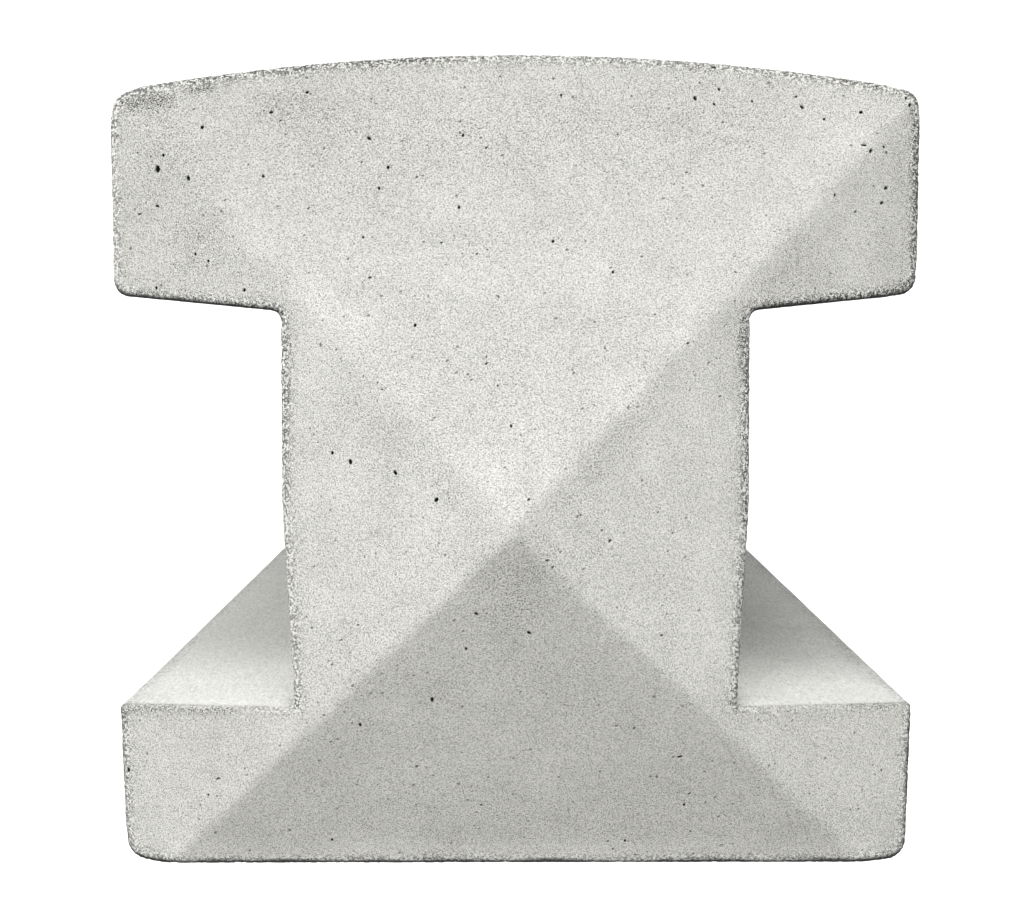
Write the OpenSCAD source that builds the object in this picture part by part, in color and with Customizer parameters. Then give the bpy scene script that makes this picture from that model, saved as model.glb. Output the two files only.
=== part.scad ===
// Slotted concrete fence post, cast in one piece.
// The post stands on its foot with the weathered top up. +Z runs up the post, the
// crowned, trowelled face looks to +Y, the flat moulded face to -Y, and a panel slot
// opens to each side along X. The origin is the middle of the foot.

/* [Post] */
// Height of the post, from the foot to the point where its weathered faces would meet
post_height = 2360; // [1200:10:3000]
// Depth of the section, from the moulded face to the top of the crown
section_depth = 110; // [104:0.5:125]

/* [Moulded flange] */
// Width across the moulded face
face_width = 107; // [100:0.5:108]
// Width across the moulded flange at its slot side, wider than the face by its draft
face_flange_width = 108.6; // [104:0.2:120]
// Thickness of the moulded flange where it meets the web
face_flange_thick = 22.8; // [18:0.2:28]

/* [Crowned flange] */
// Width across the crowned flange at its outer edge
crown_width = 110; // [106:0.5:124]
// Width across the crowned flange at its slot side, narrower by its draft
crown_flange_width = 109.2; // [104:0.2:120]
// Rise of the trowelled crown above its two edges
crown_rise = 5.2; // [2:0.2:8]

/* [Panel slots] */
// Clear width of a slot at its root, between the two flanges
slot_width = 52.2; // [48:0.2:56]
// How far the slot opens out towards its mouth on the crowned flange
crown_side_taper = 2.3; // [0.5:0.1:4]
// How far the slot opens out towards its mouth on the moulded flange
face_side_taper = 1.4; // [0.5:0.1:4]

/* [Web] */
// Width of the web between the two slot floors
web_width = 61.6; // [56:0.2:70]
// Width of the web where it runs into the moulded flange
web_neck_width = 58.4; // [52:0.2:61]
// Height above the moulded flange at which the web starts to narrow
web_neck_height = 27; // [10:0.5:40]

/* [Weathered top] */
// Fall of the weathered faces over the slots and the moulded face, in degrees below level
weathering_angle = 26.5; // [15:0.5:40]
// Fall of the weathered face towards the crown, a little flatter than the others
crown_weathering_angle = 25.8; // [15:0.2:40]
// Distance of the tip from the moulded face
tip_from_face = 47; // [40:0.5:60]
// Radius of the rounded hips where the weathered faces meet
hip_radius = 3.5; // [2:0.5:10]
// Flats that round off each hip
hip_flats = 3; // [1:1:7]

/* [Rounded arrises] */
// Radius of the two arrises beside the moulded face
face_arris = 2.6; // [1:0.2:4]
// Radius of the moulded flange's two arrises at the slot mouths
face_lip_arris = 0.8; // [0.4:0.2:3]
// Radius in the slot's corners beside the moulded flange
face_root_fillet = 0.8; // [0.2:0.1:2]
// Radius in the slot's corners beside the crowned flange
crown_root_fillet = 1.4; // [0.4:0.1:3]
// Radius of the crowned flange's two arrises at the slot mouths
crown_lip_arris = 2.4; // [1:0.2:4]
// Radius of the two arrises beside the crown
crown_arris = 2.4; // [1:0.2:4]

/* [Hidden] */

concrete_colour = [0.84, 0.835, 0.815];

// Chords that make up the crown and each rounded arris
crown_chords = 16;
arris_chords = 6;

// Levels across the section, measured along Y from the middle of its depth
face_y = -section_depth / 2;
face_root_y = face_y + face_flange_thick;
face_lip_y = face_root_y - face_side_taper;
neck_y = face_root_y + web_neck_height;
crown_root_y = face_root_y + slot_width;
crown_lip_y = crown_root_y + crown_side_taper;
crown_top_y = section_depth / 2;
crown_edge_y = crown_top_y - crown_rise;

// The crown is an arc through its two edges and its top
crown_radius = (pow(crown_width / 2, 2) + pow(crown_rise, 2)) / (2 * crown_rise);
crown_half_angle = asin(crown_width / 2 / crown_radius);
crown_centre_y = crown_top_y - crown_radius;

tip_y = face_y + tip_from_face;

// Fall of each weathered face for each unit outwards: over the +X slot, towards the
// crown, over the -X slot and towards the moulded face
weathering_falls = [
    tan(weathering_angle),
    tan(crown_weathering_angle),
    tan(weathering_angle),
    tan(weathering_angle),
];

// A block this large covers the whole section from any direction
cutter_reach = 2 * (section_depth + crown_width);

// A point on the crown, at an angle from its middle, positive towards +X
function crown_point(angle) =
    [crown_radius * sin(angle), crown_centre_y + crown_radius * cos(angle)];

// The corners of the section's +X half, from the moulded face up to the crown's edge,
// each with the radius that rounds it
half_corners = [
    [face_width / 2, face_y, face_arris],
    [face_flange_width / 2, face_lip_y, face_lip_arris],
    [web_neck_width / 2, face_root_y, face_root_fillet],
    [web_width / 2, neck_y, 0],
    [web_width / 2, crown_root_y, crown_root_fillet],
    [crown_flange_width / 2, crown_lip_y, crown_lip_arris],
    [crown_width / 2, crown_edge_y, crown_arris],
];

// The points of the crown between its two edges, from +X to -X
crown_corners = [
    for (i = [1 : crown_chords - 1])
        let (angle = crown_half_angle * (1 - 2 * i / crown_chords))
        [crown_point(angle).x, crown_point(angle).y, 0]
];

function mirrored(corners) = [
    for (i = [len(corners) - 1 : -1 : 0])
        [-corners[i].x, corners[i].y, corners[i].z]
];

section_corners = concat(half_corners, crown_corners, mirrored(half_corners));

function flat(corner) = [corner.x, corner.y];

function unit(v) = v / norm(v);

// The points that round one corner: an arc that touches both of its sides
function rounded_corner(before, corner, after, radius) =
    let (
        back = unit(before - corner),
        ahead = unit(after - corner),
        half_angle = acos(back * ahead) / 2,
        tangent = radius / tan(half_angle),
        centre = corner + unit(back + ahead) * radius / sin(half_angle),
        from = corner + back * tangent - centre,
        to = corner + ahead * tangent - centre,
        sweep = 180 - 2 * half_angle,
        turn = sign(from.x * to.y - from.y * to.x)
    )
    [
        for (i = [0 : arris_chords])
            let (a = turn * sweep * i / arris_chords)
            centre + [from.x * cos(a) - from.y * sin(a), from.x * sin(a) + from.y * cos(a)]
    ];

function outline(corners) =
    let (n = len(corners))
    [
        for (i = [0 : n - 1])
            let (
                corner = corners[i],
                before = flat(corners[(i + n - 1) % n]),
                after = flat(corners[(i + 1) % n])
            )
            for (p = corner.z > 0
                    ? rounded_corner(before, flat(corner), after, corner.z)
                    : [flat(corner)])
                p
    ];

// The cast section: two flanges, the web and the slots between them
module section() {
    polygon(outline(section_corners));
}

// Everything above one flat of the weathered top. The flat falls towards the heading,
// a direction seen from above, and drop is its depth under the tip at the tip's axis
module above_flat(heading, fall, drop) {
    translate([0, tip_y, post_height - drop])
        rotate([0, atan(fall), heading])
            translate([-cutter_reach / 2, -cutter_reach / 2, 0])
                cube(cutter_reach);
}

// Length of the normal of a face with this fall, for a rise of one
function normal_length(fall) = norm([fall, 1]);

// The four weathered faces, and the flats that round the hip after each of them.
// A hip's flats all run parallel to it and touch a cylinder of the hip radius
module above_weathering() {
    faces = len(weathering_falls);
    for (face = [0 : faces - 1])
        for (flat = [0 : hip_flats]) {
            share = flat / (hip_flats + 1);
            this_fall = weathering_falls[face];
            next_fall = weathering_falls[(face + 1) % faces];
            ahead = this_fall * (1 - share);
            aside = next_fall * share;
            fall = norm([ahead, aside]);
            above_flat(
                heading = 360 / faces * face + atan2(aside, ahead),
                fall = fall,
                drop = hip_radius * (
                    normal_length(this_fall) * (1 - share)
                    + normal_length(next_fall) * share
                    - normal_length(fall)
                )
            );
        }
}

module post() {
    color(concrete_colour)
        difference() {
            linear_extrude(height = post_height)
                section();
            above_weathering();
        }
}

post();
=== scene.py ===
"""Slotted concrete fence post: its cast surface, its concrete and a plain studio.

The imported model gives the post's section, its height and the planes of its weathered
top. The surface made here follows them, and adds soft hips, crumbled arrises, pores,
chips and the slow swell of a cast face. All lengths are in metres.
"""

import functools
import itertools
import math

import bmesh
import bpy
import numpy as np
from bpy.props import (
    FloatProperty,
    FloatVectorProperty,
    IntProperty,
    PointerProperty,
)
from mathutils import Euler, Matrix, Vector
from mathutils.geometry import delaunay_2d_cdt


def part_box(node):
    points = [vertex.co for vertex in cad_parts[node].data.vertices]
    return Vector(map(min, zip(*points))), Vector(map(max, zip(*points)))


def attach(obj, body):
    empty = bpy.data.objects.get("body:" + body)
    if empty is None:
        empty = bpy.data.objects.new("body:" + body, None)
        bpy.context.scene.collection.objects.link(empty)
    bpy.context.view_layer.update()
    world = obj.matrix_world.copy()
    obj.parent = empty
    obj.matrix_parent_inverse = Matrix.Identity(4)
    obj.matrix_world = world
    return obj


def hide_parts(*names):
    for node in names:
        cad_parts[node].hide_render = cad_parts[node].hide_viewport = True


bl_info = {
    "name": "Slotted concrete fence post",
    "version": (1, 0, 0),
    "blender": (4, 5, 0),
    "location": "3D View > Sidebar > Fence Post",
    "description": "Cast surface and concrete of a slotted fence post, with a studio",
    "category": "Add Mesh",
}

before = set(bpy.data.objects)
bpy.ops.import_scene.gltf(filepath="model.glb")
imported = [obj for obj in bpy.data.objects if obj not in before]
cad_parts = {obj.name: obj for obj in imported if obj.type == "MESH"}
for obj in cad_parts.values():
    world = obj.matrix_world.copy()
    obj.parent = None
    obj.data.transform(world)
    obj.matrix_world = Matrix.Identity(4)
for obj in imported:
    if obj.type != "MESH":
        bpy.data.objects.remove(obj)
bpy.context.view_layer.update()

POST_NODE = "post"
POST_BODY = "root"

MM = 0.001
# Vertices closer together than this are one
WELD = 1e-6
TRIANGLE_LIMIT = 200000
# Number of random slopes that the smooth noise draws from
SLOPE_COUNT = 1024

# The photograph's frame, in pixels
PHOTO_WIDTH = 1024
PHOTO_HEIGHT = 921
SENSOR_WIDTH_MM = 36.0

# The larger pores of the top: their pixel in the photograph, their width and length in
# pixels and the lean of their length from the vertical, in degrees
TOP_PORES = [
    (157, 169, 4.5, 7.0, 0),
    (188, 178, 3.0, 5.0, 20),
    (202, 127, 3.0, 4.0, -20),
    (163, 155, 2.5, 3.0, 0),
    (263, 176, 2.6, 3.2, 30),
    (369, 138, 3.0, 4.6, 50),
    (388, 167, 2.6, 3.6, 0),
    (379, 188, 2.4, 3.0, 0),
    (363, 237, 2.2, 2.8, 0),
    (157, 206, 2.2, 4.2, 80),
    (195, 254, 2.2, 2.8, 0),
    (208, 261, 2.2, 2.6, 0),
    (307, 92, 2.6, 3.4, -60),
    (271, 112, 2.4, 4.4, -75),
    (156, 288, 2.4, 3.4, 0),
    (244, 290, 2.4, 3.8, -30),
    (463, 135, 2.4, 3.4, 0),
    (459, 207, 2.4, 3.4, 0),
    (415, 325, 2.6, 3.4, -30),
    (332, 453, 2.6, 3.4, 0),
    (350, 462, 3.2, 5.0, 10),
    (395, 473, 2.8, 4.6, 30),
    (436, 500, 3.0, 4.8, -40),
    (695, 98, 3.2, 4.6, 20),
    (719, 89, 2.4, 3.2, 0),
    (714, 67, 2.2, 5.0, 75),
    (752, 101, 2.0, 2.6, 0),
    (802, 107, 2.8, 4.8, 50),
    (824, 119, 2.4, 3.0, -30),
    (861, 112, 2.8, 4.0, -60),
    (864, 145, 2.0, 5.4, 84),
    (871, 151, 3.2, 4.2, -30),
    (884, 147, 2.0, 3.0, 30),
    (886, 188, 3.2, 4.0, -60),
    (882, 203, 2.8, 4.0, -60),
    (835, 195, 2.2, 2.8, 0),
    (906, 98, 2.2, 2.8, 0),
    (910, 105, 3.0, 3.8, 0),
    (714, 104, 2.0, 3.0, 40),
    (553, 241, 2.4, 3.2, 0),
    (561, 95, 2.2, 3.0, 0),
    (613, 272, 2.2, 3.0, 0),
    (511, 426, 2.2, 2.8, 0),
    (610, 541, 2.4, 3.4, -40),
    (128, 770, 3.4, 4.4, 0),
    (432, 700, 3.0, 5.0, 0),
    (466, 649, 2.4, 3.2, 0),
    (360, 725, 2.4, 4.0, 10),
    (332, 840, 2.4, 3.0, 0),
    (476, 614, 2.4, 4.0, 60),
    (529, 633, 2.4, 4.6, 60),
    (625, 841, 2.4, 3.0, 0),
    (680, 757, 2.2, 5.0, -70),
    (684, 805, 2.4, 3.0, 0),
]

# These pores are made larger, because the painted shade in a pore ends a little inside its edge
PORE_OVERSIZE = 1.15

# Nicks in the edges of the top: their pixel, and their radius in pixels
TOP_NICKS = [
    (488, 57, 5.5),
    (568, 57, 5.5),
    (292, 700, 5),
    (287, 676, 4),
    (745, 470, 4),
    (738, 640, 5),
    (620, 861, 5),
    (489, 862, 5),
]

# Soft stains of the top, with bands of painted light and painted shade: lit hips, painted
# highlights on arrises that face the lamps, painted shade along the undersides of the flanges'
# edges, and lifts of faces that the lamps light too weakly. Each has two pixels that it runs
# between, its width in pixels and how much paler it is, or darker where the number is negative
TOP_STAINS_AND_PAINTED_LIGHT = [
    (128, 102, 168, 99, 13, -0.24),
    (140, 110, 160, 107, 18, -0.08),
    (188, 91, 210, 88, 9, -0.22),
    (262, 100, 330, 118, 26, -0.05),
    (300, 130, 720, 130, 110, -0.04),
    (885, 128, 900, 160, 22, -0.05),
    (884, 291, 908, 284, 12, -0.25),
    (756, 308, 880, 295, 7, -0.42),
    (176, 302, 280, 311, 7, -0.38),
    (128, 296, 176, 302, 4, -0.3),
    (915, 110, 912, 285, 7, -0.18),
    (125, 709, 232, 711, 8, -0.16),
    (850, 706, 900, 704, 10, -0.1),
    (744, 320, 742, 360, 8, -0.2),
    (287, 560, 291, 640, 4, 0.35),
    (291, 640, 295, 690, 4, 0.3),
    (160, 88, 188, 84, 7, 0.4),
    (114, 112, 115, 280, 7, 0.2),
    (150, 120, 190, 250, 110, -0.045),
    (690, 570, 712, 612, 8, 0.05),
    (548, 528, 582, 552, 8, 0.05),
    (668, 330, 848, 140, 46, 0.04),
    (496, 480, 228, 200, 30, 0.04),
    (470, 512, 200, 236, 34, -0.02),
    (562, 502, 884, 166, 26, -0.03),
    (512, 440, 512, 505, 60, 0.03),
    (515, 575, 515, 610, 70, -0.05),
    (575, 530, 590, 560, 50, -0.03),
    (180, 857, 860, 857, 36, 0.2),
    (850, 170, 855, 270, 110, 0.06),
    (800, 770, 880, 770, 110, 0.06),
    (700, 380, 700, 640, 70, 0.035),
    (322, 340, 330, 480, 70, 0.045),
    (745, 330, 747, 530, 16, -0.07),
    (284, 330, 284, 530, 18, -0.05),
]

# Places of the section, in millimetres, whose arris is worn rounder, and how deep
WORN_ARRISES = [
    (55.0, 50.0, 0.3),
    (-55.0, 50.0, 0.6),
    (-53.5, -55.0, 0.3),
    (54.6, 22.3, 0.2),
]

# Widths of the pinholes of the top, widths of the pores of the sides and radii of the
# chips, in millimetres
PINHOLE_WIDTHS = (0.16, 0.3)
SIDE_PORE_WIDTHS = (0.8, 3.0)
CHIP_RADII = (1.0, 3.6)
# How far pinholes stay from the rim, and pores and chips of the sides from both ends
PINHOLE_MARGIN = 2.5 * MM
SIDE_PORE_MARGIN = 8 * MM
CHIP_MARGIN = 12 * MM
# Tries for each pore, before the search for free places ends
TRIES = 40

# Swells: the wavelength, the share and the seed of each wave in them. Each weathered
# face has seeds of its own, this far on from those of the face before it
TOP_WAVES = [(26 * MM, 1.0, 0), (9 * MM, 0.45, 1)]
FACE_SEEDS = 11
SIDE_WAVES = [(140 * MM, 0.7, 3), (38 * MM, 0.3, 4)]
STROKE_WAVES = [(16 * MM, 0.6, 5), (5 * MM, 0.4, 6)]
# The float's strokes run up the post: their width as a share of their length
STROKE_WIDTH_SHARE = 0.22

# Step between vertices on the rim's rounded corners, as a share of that on its flats
RIM_CORNER_SHARE = 0.7
# Depth under the rim down to which the sides have finely spaced rows, and the step
# between vertices on the foot's rounded corners
FINE_DEPTH = 16 * MM
FOOT_CORNER_STEP = 1.1 * MM

# Painted light on the slots' faces below their lips: how much paler they are at minus and plus
# this place in X, and the depth over which that fades
LIP_PLACE = 40 * MM
LIP_PAINTED_LIGHT = (0.0, 0.14)
LIP_LIGHT_DEPTH = 45 * MM
# The painted highlight: a pale band right below those lips
LIP_BAND = 4 * MM
LIP_BAND_HIGHLIGHT = 0.12
# The slots' sides in Y, the depths between which painted shade sets in, and how much it darkens
SLOT_SIDES = (-35 * MM, 24 * MM)
SHADE_DEPTHS = (50 * MM, 180 * MM)
SLOT_PAINTED_SHADE = 0.09

# Sizes of the lumps, the grains and the sand that a worn arris has lost
LUMP_SIZE = 3.2 * MM
GRAIN_SIZE = 1.1 * MM
SAND_SIZE = 0.55 * MM

# Distance from the middle in X past which the rim is the end of a flange
FLANGE_ENDS = 45 * MM
# The moulded face lies below this place in Y
MOULDED_FACE_Y = -50 * MM
# How much painted shade the rim has on the ends of its flanges: at -X and at +X of the
# moulded flange, and at +X of the crowned one
FACE_END_SHADE = (0.3, 0.6)
CROWN_END_SHADE = 0.3
# Width of the painted shade along the rim, how strong it is, the wavelength and the share
# by which the width varies, and the depth below the rim where the sides are most shaded
RIM_SHADE_WIDTH = 0.36 * MM
RIM_SHADE_STRENGTH = 1.6
RIM_SHADE_WAVE = 7 * MM
RIM_SHADE_WAVE_SHARE = 0.5
RIM_SHADE_DEPTH = 0.4 * MM
# Width of the band of painted shade along the moulded face's rim, and of its soft edge
FACE_SHADE_BAND = 0.74 * MM
FACE_SHADE_BAND_EDGE = 0.3 * MM


def length_setting(name, description, default):
    """A length, shown in the sidebar down to a hundredth of a millimetre."""
    return FloatProperty(
        name=name,
        description=description,
        default=default,
        unit="LENGTH",
        precision=5,
    )


def count_setting(name, description, default):
    """A whole number from 0 up."""
    return IntProperty(name=name, description=description, default=default, min=0)


def share_setting(name, description, default, highest=1.0):
    """A share of 1, up to the highest that makes sense."""
    return FloatProperty(
        name=name,
        description=description,
        default=default,
        min=0,
        max=highest,
        subtype="FACTOR",
    )


def power_setting(name, description, default):
    """A lamp's power, in watts."""
    return FloatProperty(name=name, description=description, default=default, unit="POWER")


def turn_setting(name, description, degrees):
    """An angle, whose default is given in degrees."""
    return FloatProperty(
        name=name,
        description=description,
        default=math.radians(degrees),
        subtype="ANGLE",
    )


def colour_setting(name, description, default):
    """A colour."""
    return FloatVectorProperty(
        name=name,
        description=description,
        default=default,
        subtype="COLOR",
        min=0,
        max=1,
    )


class PostShape(bpy.types.PropertyGroup):
    """Sizes of the cast surface."""

    seed: count_setting("Seed", "Number that sets where the random marks fall", 7)
    rim_radius: length_setting(
        "Rim radius", "Radius of the worn arris round the weathered top", 0.8 * MM
    )
    rim_crumble: length_setting(
        "Rim crumble", "Depth to which that arris has lost its sand grains", 0.13 * MM
    )
    foot_radius: length_setting("Foot arris", "Radius of the worn arris round the foot", 0.6 * MM)
    top_swell: length_setting(
        "Swell of the top", "Height of the slow unevenness of the weathered faces", 0.22 * MM
    )
    side_swell: length_setting(
        "Swell of the sides", "Height of the slow unevenness along the moulded faces", 0.24 * MM
    )
    float_marks: length_setting(
        "Float marks", "Height of the strokes that floating left on the crown", 0.3 * MM
    )
    top_step: length_setting(
        "Step on the top", "Distance between vertices on the weathered faces", 0.78 * MM
    )
    rim_step: length_setting(
        "Step on the rim", "Distance between vertices on the worn arris of the top", 0.36 * MM
    )
    side_step: length_setting(
        "Step round the sides", "Distance between vertices across the moulded faces", 5.0 * MM
    )
    side_rise: length_setting(
        "Step along the sides", "Distance between vertices up the moulded faces", 16.0 * MM
    )
    top_pinholes: count_setting(
        "Pinholes of the top", "Number of small pores spread over the weathered faces", 70
    )
    side_pores: count_setting(
        "Pores of the sides", "Number of pores spread over the sides of the post", 260
    )
    side_chips: count_setting(
        "Chips of the arrises",
        "Number of small chips along the four long pairs of arrises",
        90,
    )


class PostConcrete(bpy.types.PropertyGroup):
    """Colours and grain of the concrete."""

    cement: colour_setting("Cement", "Colour of the cement skin", (0.7, 0.695, 0.655))
    moulded_cement: colour_setting(
        "Moulded cement",
        "Colour of the cement skin that met the mould",
        (0.696, 0.694, 0.67),
    )
    pale: colour_setting("Pale sand", "Colour of the palest grains", (0.96, 0.96, 0.93))
    dark: colour_setting("Dark sand", "Colour of the dark grains", (0.085, 0.083, 0.075))
    # Painted shade: this near black colour stands for the shade in the pores and along the rim's
    # shaded arris
    shade: colour_setting("Dust", "Colour of the dust deep in the pores", (0.012, 0.012, 0.011))
    grain: length_setting("Grain", "Size of the sand grains that show in the skin", 0.12 * MM)
    grain_relief: length_setting("Grain relief", "Height of the grains above the skin", 0.1 * MM)
    grain_contrast: FloatProperty(
        name="Grain contrast",
        description="How much darker the hollows between the grains are than their tops",
        default=2.2,
        min=0,
        max=3,
    )
    mould_paleness: share_setting(
        "Paleness off the mould",
        "How much paler the faces that met the mould are than the floated top",
        0.19,
        highest=0.5,
    )
    dulling: share_setting(
        "Dulling", "How much darker the top is far from its tip", 0.105, highest=0.5
    )
    roughness: share_setting("Roughness", "Roughness of the dry cement skin", 0.88)


class PostStudio(bpy.types.PropertyGroup):
    """Camera, lamps and floor."""

    lens: FloatProperty(
        name="Lens",
        description="Focal length of the camera, in millimetres",
        default=85.0,
        subtype="DISTANCE_CAMERA",
    )
    camera_side: length_setting("Camera to the side", "Place of the camera along X", -0.44 * MM)
    camera_forward: length_setting("Camera forward", "Place of the camera along Y", 18.05 * MM)
    camera_rise: length_setting(
        "Camera above the tip",
        "Height of the camera above the tip of the weathered top",
        301.8 * MM,
    )
    camera_lean: turn_setting(
        "Camera lean",
        "Turn of the camera from straight down, towards the moulded face",
        -3.184,
    )
    camera_turn: turn_setting("Camera turn", "Turn of the camera about the post's length", -0.08)
    key_power: power_setting("Key lamp", "Power of the large lamp high over the crowned face", 43.0)
    front_power: power_setting(
        "Front lamp", "Power of the lower lamp in front of the crowned face", 41.0
    )
    left_power: power_setting("Left lamp", "Power of the tall lamp beside the left slot", 54.0)
    right_power: power_setting("Right lamp", "Power of the tall lamp beside the right slot", 11.0)
    back_power: power_setting("Back lamp", "Power of the lamp over the moulded face", 19.5)
    low_power: power_setting("Low lamp", "Power of the lamp low behind the moulded face", 45.0)
    sky: FloatProperty(
        name="Sky",
        description="Strength of the even light from all round",
        default=0.15,
        min=0,
    )
    floor_colour: colour_setting("Floor", "Colour of the floor", (0.5, 0.5, 0.5))
    floor_width: length_setting("Floor width", "Width of the square floor under the post", 3.2)


def welded(node):
    """A node's surface, with the vertices that lie on each other joined."""
    shell = bmesh.new()
    shell.from_mesh(node.data)
    bmesh.ops.remove_doubles(shell, verts=shell.verts, dist=WELD)
    return shell


class Outline:
    """The closed outline of the post's section, addressed by the length along it."""

    # Every chord shorter than this belongs to a rounded corner
    CORNER_CHORD = 1.5 * MM
    # Step of the samples along the outline, and the width over which corners blend in
    SAMPLE = 0.05 * MM
    BLEND = 1.5 * MM
    # Length to each side of a worn arris over which its wear fades out
    WEAR_REACH = 4.5 * MM

    def __init__(self, node):
        corners = self.read(node)
        # The ring starts in the middle of the moulded face, far from any arris
        start = (corners[:1] + corners[1:2]) / 2
        self.measure(np.vstack([start, corners[1:], corners[:1], start]))
        for x, y, loss in WORN_ARRISES:
            self.wear(np.array([x, y]) * MM, loss * MM)
        self.samples = np.arange(0, self.perimeter, self.SAMPLE)
        self.shares = self.corner_shares()

    def measure(self, corners):
        """Takes over the closed ring of corners, with the lengths of its chords."""
        self.corners = corners
        chords = np.diff(corners, axis=0)
        self.chords = np.hypot(chords[:, 0], chords[:, 1])
        self.lengths = np.concatenate([[0.0], np.cumsum(self.chords)])
        self.perimeter = self.lengths[-1]

    def wear(self, spot, loss):
        """Rounds off the arris nearest to a spot, by a loss at its middle."""
        middle = self.lengths[np.argmin(np.linalg.norm(self.corners - spot, axis=1))]
        span = middle + np.linspace(-1, 1, 23) * self.WEAR_REACH
        fade = (1 - ((span - middle) / self.WEAR_REACH) ** 2) ** 2
        worn = self.at(span) - self.outward(span) * (loss * fade)[:, None]
        kept = np.abs(self.lengths - middle) > self.WEAR_REACH
        order = np.argsort(np.concatenate([self.lengths[kept], span]))
        self.measure(np.vstack([self.corners[kept], worn])[order])

    @staticmethod
    def read(node):
        """The corners of the node's foot, counterclockwise as seen from above."""
        shell = welded(node)
        floor = min(vert.co.z for vert in shell.verts) + WELD
        foot = {face for face in shell.faces if all(v.co.z < floor for v in face.verts)}
        before = {}
        for face in foot:
            for loop in face.loops:
                if any(other not in foot for other in loop.edge.link_faces):
                    before[loop.link_loop_next.vert] = loop.vert
        first = min(before, key=lambda vert: (round(vert.co.y, 6), vert.co.x))
        ring = [first]
        while before[ring[-1]] is not first:
            ring.append(before[ring[-1]])
        corners = np.array([(vert.co.x, vert.co.y) for vert in ring])
        shell.free()
        return corners

    def at(self, along):
        """Points on the outline."""
        along = np.mod(along, self.perimeter)
        return np.column_stack(
            [np.interp(along, self.lengths, self.corners[:, axis]) for axis in (0, 1)]
        )

    def outward(self, along, reach=0.25 * MM):
        """Unit normals of the outline, evened out over a short reach."""
        ahead = self.at(along + reach) - self.at(along - reach)
        normals = np.column_stack([ahead[:, 1], -ahead[:, 0]])
        return normals / np.linalg.norm(normals, axis=1, keepdims=True)

    def corner_shares(self):
        """How much each sample of the outline belongs to a rounded corner."""
        chord = self.chords[
            np.searchsorted(self.lengths, self.samples, side="right") - 1
        ]
        beside_corner = self.evened(chord < self.CORNER_CHORD) > 1e-9
        return self.evened(beside_corner)

    def evened(self, values):
        """Values of the samples, each averaged over half a blend to both sides."""
        half = int(self.BLEND / 2 / self.SAMPLE)
        padded = np.concatenate([values[-half:], values, values[:half]]).astype(float)
        window = np.ones(2 * half + 1) / (2 * half + 1)
        return np.convolve(padded, window, mode="valid")

    def cornered(self, along):
        """1 on the rounded corners and 0 on the flats, with a short blend between."""
        return np.interp(np.mod(along, self.perimeter), self.samples, self.shares)

    def corner_place(self, rng):
        """A random length along the outline that lies on a rounded corner."""
        return rng.choice(self.samples[self.shares > 0.9])

    def columns(self, flat_step, corner_step):
        """Lengths along the outline, closer together on the rounded corners."""
        steps = flat_step * (1 - self.shares) + corner_step * self.shares
        count = np.concatenate([[0.0], np.cumsum(self.SAMPLE / steps)])
        total = math.ceil(count[-1])
        ends = np.concatenate([self.samples, [self.perimeter]])
        return np.interp(np.arange(total) * count[-1] / total, count, ends)

    def nearest(self, points):
        """Distance of each point from the outline, and the length along it there."""
        best = np.full(len(points), np.inf)
        along = np.zeros(len(points))
        for number, start in enumerate(self.corners[:-1]):
            chord = self.corners[number + 1] - start
            share = np.clip(((points - start) @ chord) / (chord @ chord), 0, 1)
            gap = points - start - share[:, None] * chord
            away = np.hypot(gap[:, 0], gap[:, 1])
            here = self.lengths[number] + share * self.chords[number]
            along = np.where(away < best, here, along)
            best = np.minimum(best, away)
        return best, along

    def distance(self, points):
        """Distance of each point from the outline."""
        return self.nearest(points)[0]

    def holds(self, points):
        """Whether each point lies inside the outline."""
        inside = np.zeros(len(points), bool)
        for start, end in zip(self.corners[:-1], self.corners[1:]):
            straddles = (start[1] > points[:, 1]) != (end[1] > points[:, 1])
            if start[1] == end[1]:
                continue
            rise = (points[:, 1] - start[1]) / (end[1] - start[1])
            inside ^= straddles & (points[:, 0] < start[0] + rise * (end[0] - start[0]))
        return inside

    def kept_inside(self, points, margin):
        """Those of the points that lie inside the outline, and past a margin from it."""
        points = points[self.holds(points)]
        return points[self.distance(points) > margin]


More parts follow.
